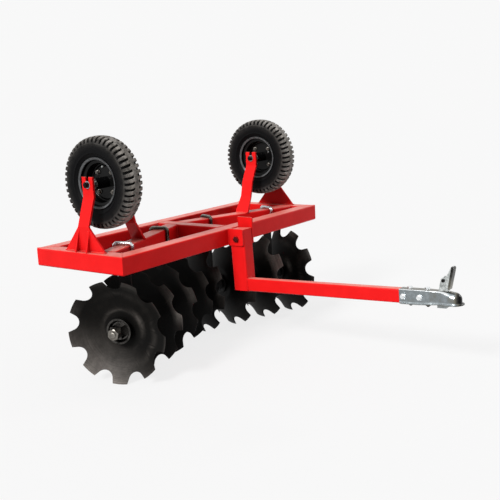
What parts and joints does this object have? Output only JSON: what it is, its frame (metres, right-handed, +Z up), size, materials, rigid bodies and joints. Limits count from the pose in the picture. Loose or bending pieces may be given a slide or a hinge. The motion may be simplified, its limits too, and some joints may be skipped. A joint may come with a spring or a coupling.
{
  "type": "disc harrow",
  "caption": "Small towed disc harrow: tube frame, two gangs of notched discs set in a V, transport wheels turned up on top and a cranked drawbar with a ball coupler.",
  "frame": {"origin": "on the ground, in the middle of the overall length and width", "axes": "+X forward, the way it is towed; +Y to its left; +Z up"},
  "size_m": [1.6893, 1.5, 1.067],
  "materials": {
    "red_paint": "gloss",
    "disc_steel": "satin",
    "bare_steel": "satin",
    "black_casting": "satin",
    "black_paint": "gloss",
    "zinc_steel": "satin",
    "tyre_rubber": "matte"
  },
  "bodies": {
    "frame": {"coupler_body": "zinc_steel", "coupler_bolts": "zinc_steel", "coupler_jaw": "zinc_steel", "coupler_latch_bracket": "zinc_steel", "coupler_lever_pin": "zinc_steel", "coupler_stub": "zinc_steel", "drawbar_beam": "red_paint", "drawbar_ears": "red_paint", "drawbar_pin": "zinc_steel", "drawbar_upright": "red_paint", "frame_centre_member": "red_paint", "frame_end_member_left": "red_paint", "frame_end_member_right": "red_paint", "frame_front_beam": "red_paint", "frame_rear_beam": "red_paint", "gang_beam_left": "red_paint", "gang_beam_right": "red_paint", "gang_bearing_housings_left": "black_casting", "gang_bearing_housings_right": "black_casting", "gang_hangers_left": "black_casting", "gang_hangers_right": "black_casting", "gang_u_bolts_left": "zinc_steel", "gang_u_bolts_right": "zinc_steel", "wheel_arm_inner_left": "red_paint", "wheel_arm_inner_right": "red_paint", "wheel_arm_outer_left": "red_paint", "wheel_arm_outer_right": "red_paint", "wheel_rod_left": "zinc_steel", "wheel_rod_right": "zinc_steel"},
    "gang_right": {"gang_axle_right": "bare_steel", "gang_discs_right": "disc_steel", "gang_end_washers_right": "black_casting", "gang_spools_right": "black_casting"},
    "wheel_right": {"wheel_hub_right": "black_paint", "wheel_rim_right": "black_paint", "wheel_tyre_right": "tyre_rubber"},
    "gang_left": {"gang_axle_left": "bare_steel", "gang_discs_left": "disc_steel", "gang_end_washers_left": "black_casting", "gang_spools_left": "black_casting"},
    "wheel_left": {"wheel_hub_left": "black_paint", "wheel_rim_left": "black_paint", "wheel_tyre_left": "tyre_rubber"},
    "lever": {"coupler_lever": "zinc_steel"}
  },
  "joints": [
    {"name": "wheel_right_spin", "type": "hinge", "parent": "frame", "child": "wheel_right", "pos_m": [-0.52852, -0.59, 0.867], "axis": [0, 1, 0], "continuous": true},
    {"name": "wheel_left_spin", "type": "hinge", "parent": "frame", "child": "wheel_left", "pos_m": [-0.52852, 0.59, 0.867], "axis": [0, 1, 0], "continuous": true},
    {"name": "gang_right_spin", "type": "hinge", "parent": "frame", "child": "gang_right", "pos_m": [-0.53479, -0.37995, 0.23], "axis": [-0.3126, 0.9499, 0], "continuous": true},
    {"name": "gang_left_spin", "type": "hinge", "parent": "frame", "child": "gang_left", "pos_m": [-0.53479, 0.37995, 0.23], "axis": [0.3126, 0.9499, 0], "continuous": true},
    {"name": "lever_swing", "type": "hinge", "parent": "frame", "child": "lever", "pos_m": [0.76804, -0.015, 0.44111], "axis": [0, 1, 0], "range_deg": [-75, 0]}
  ]
}
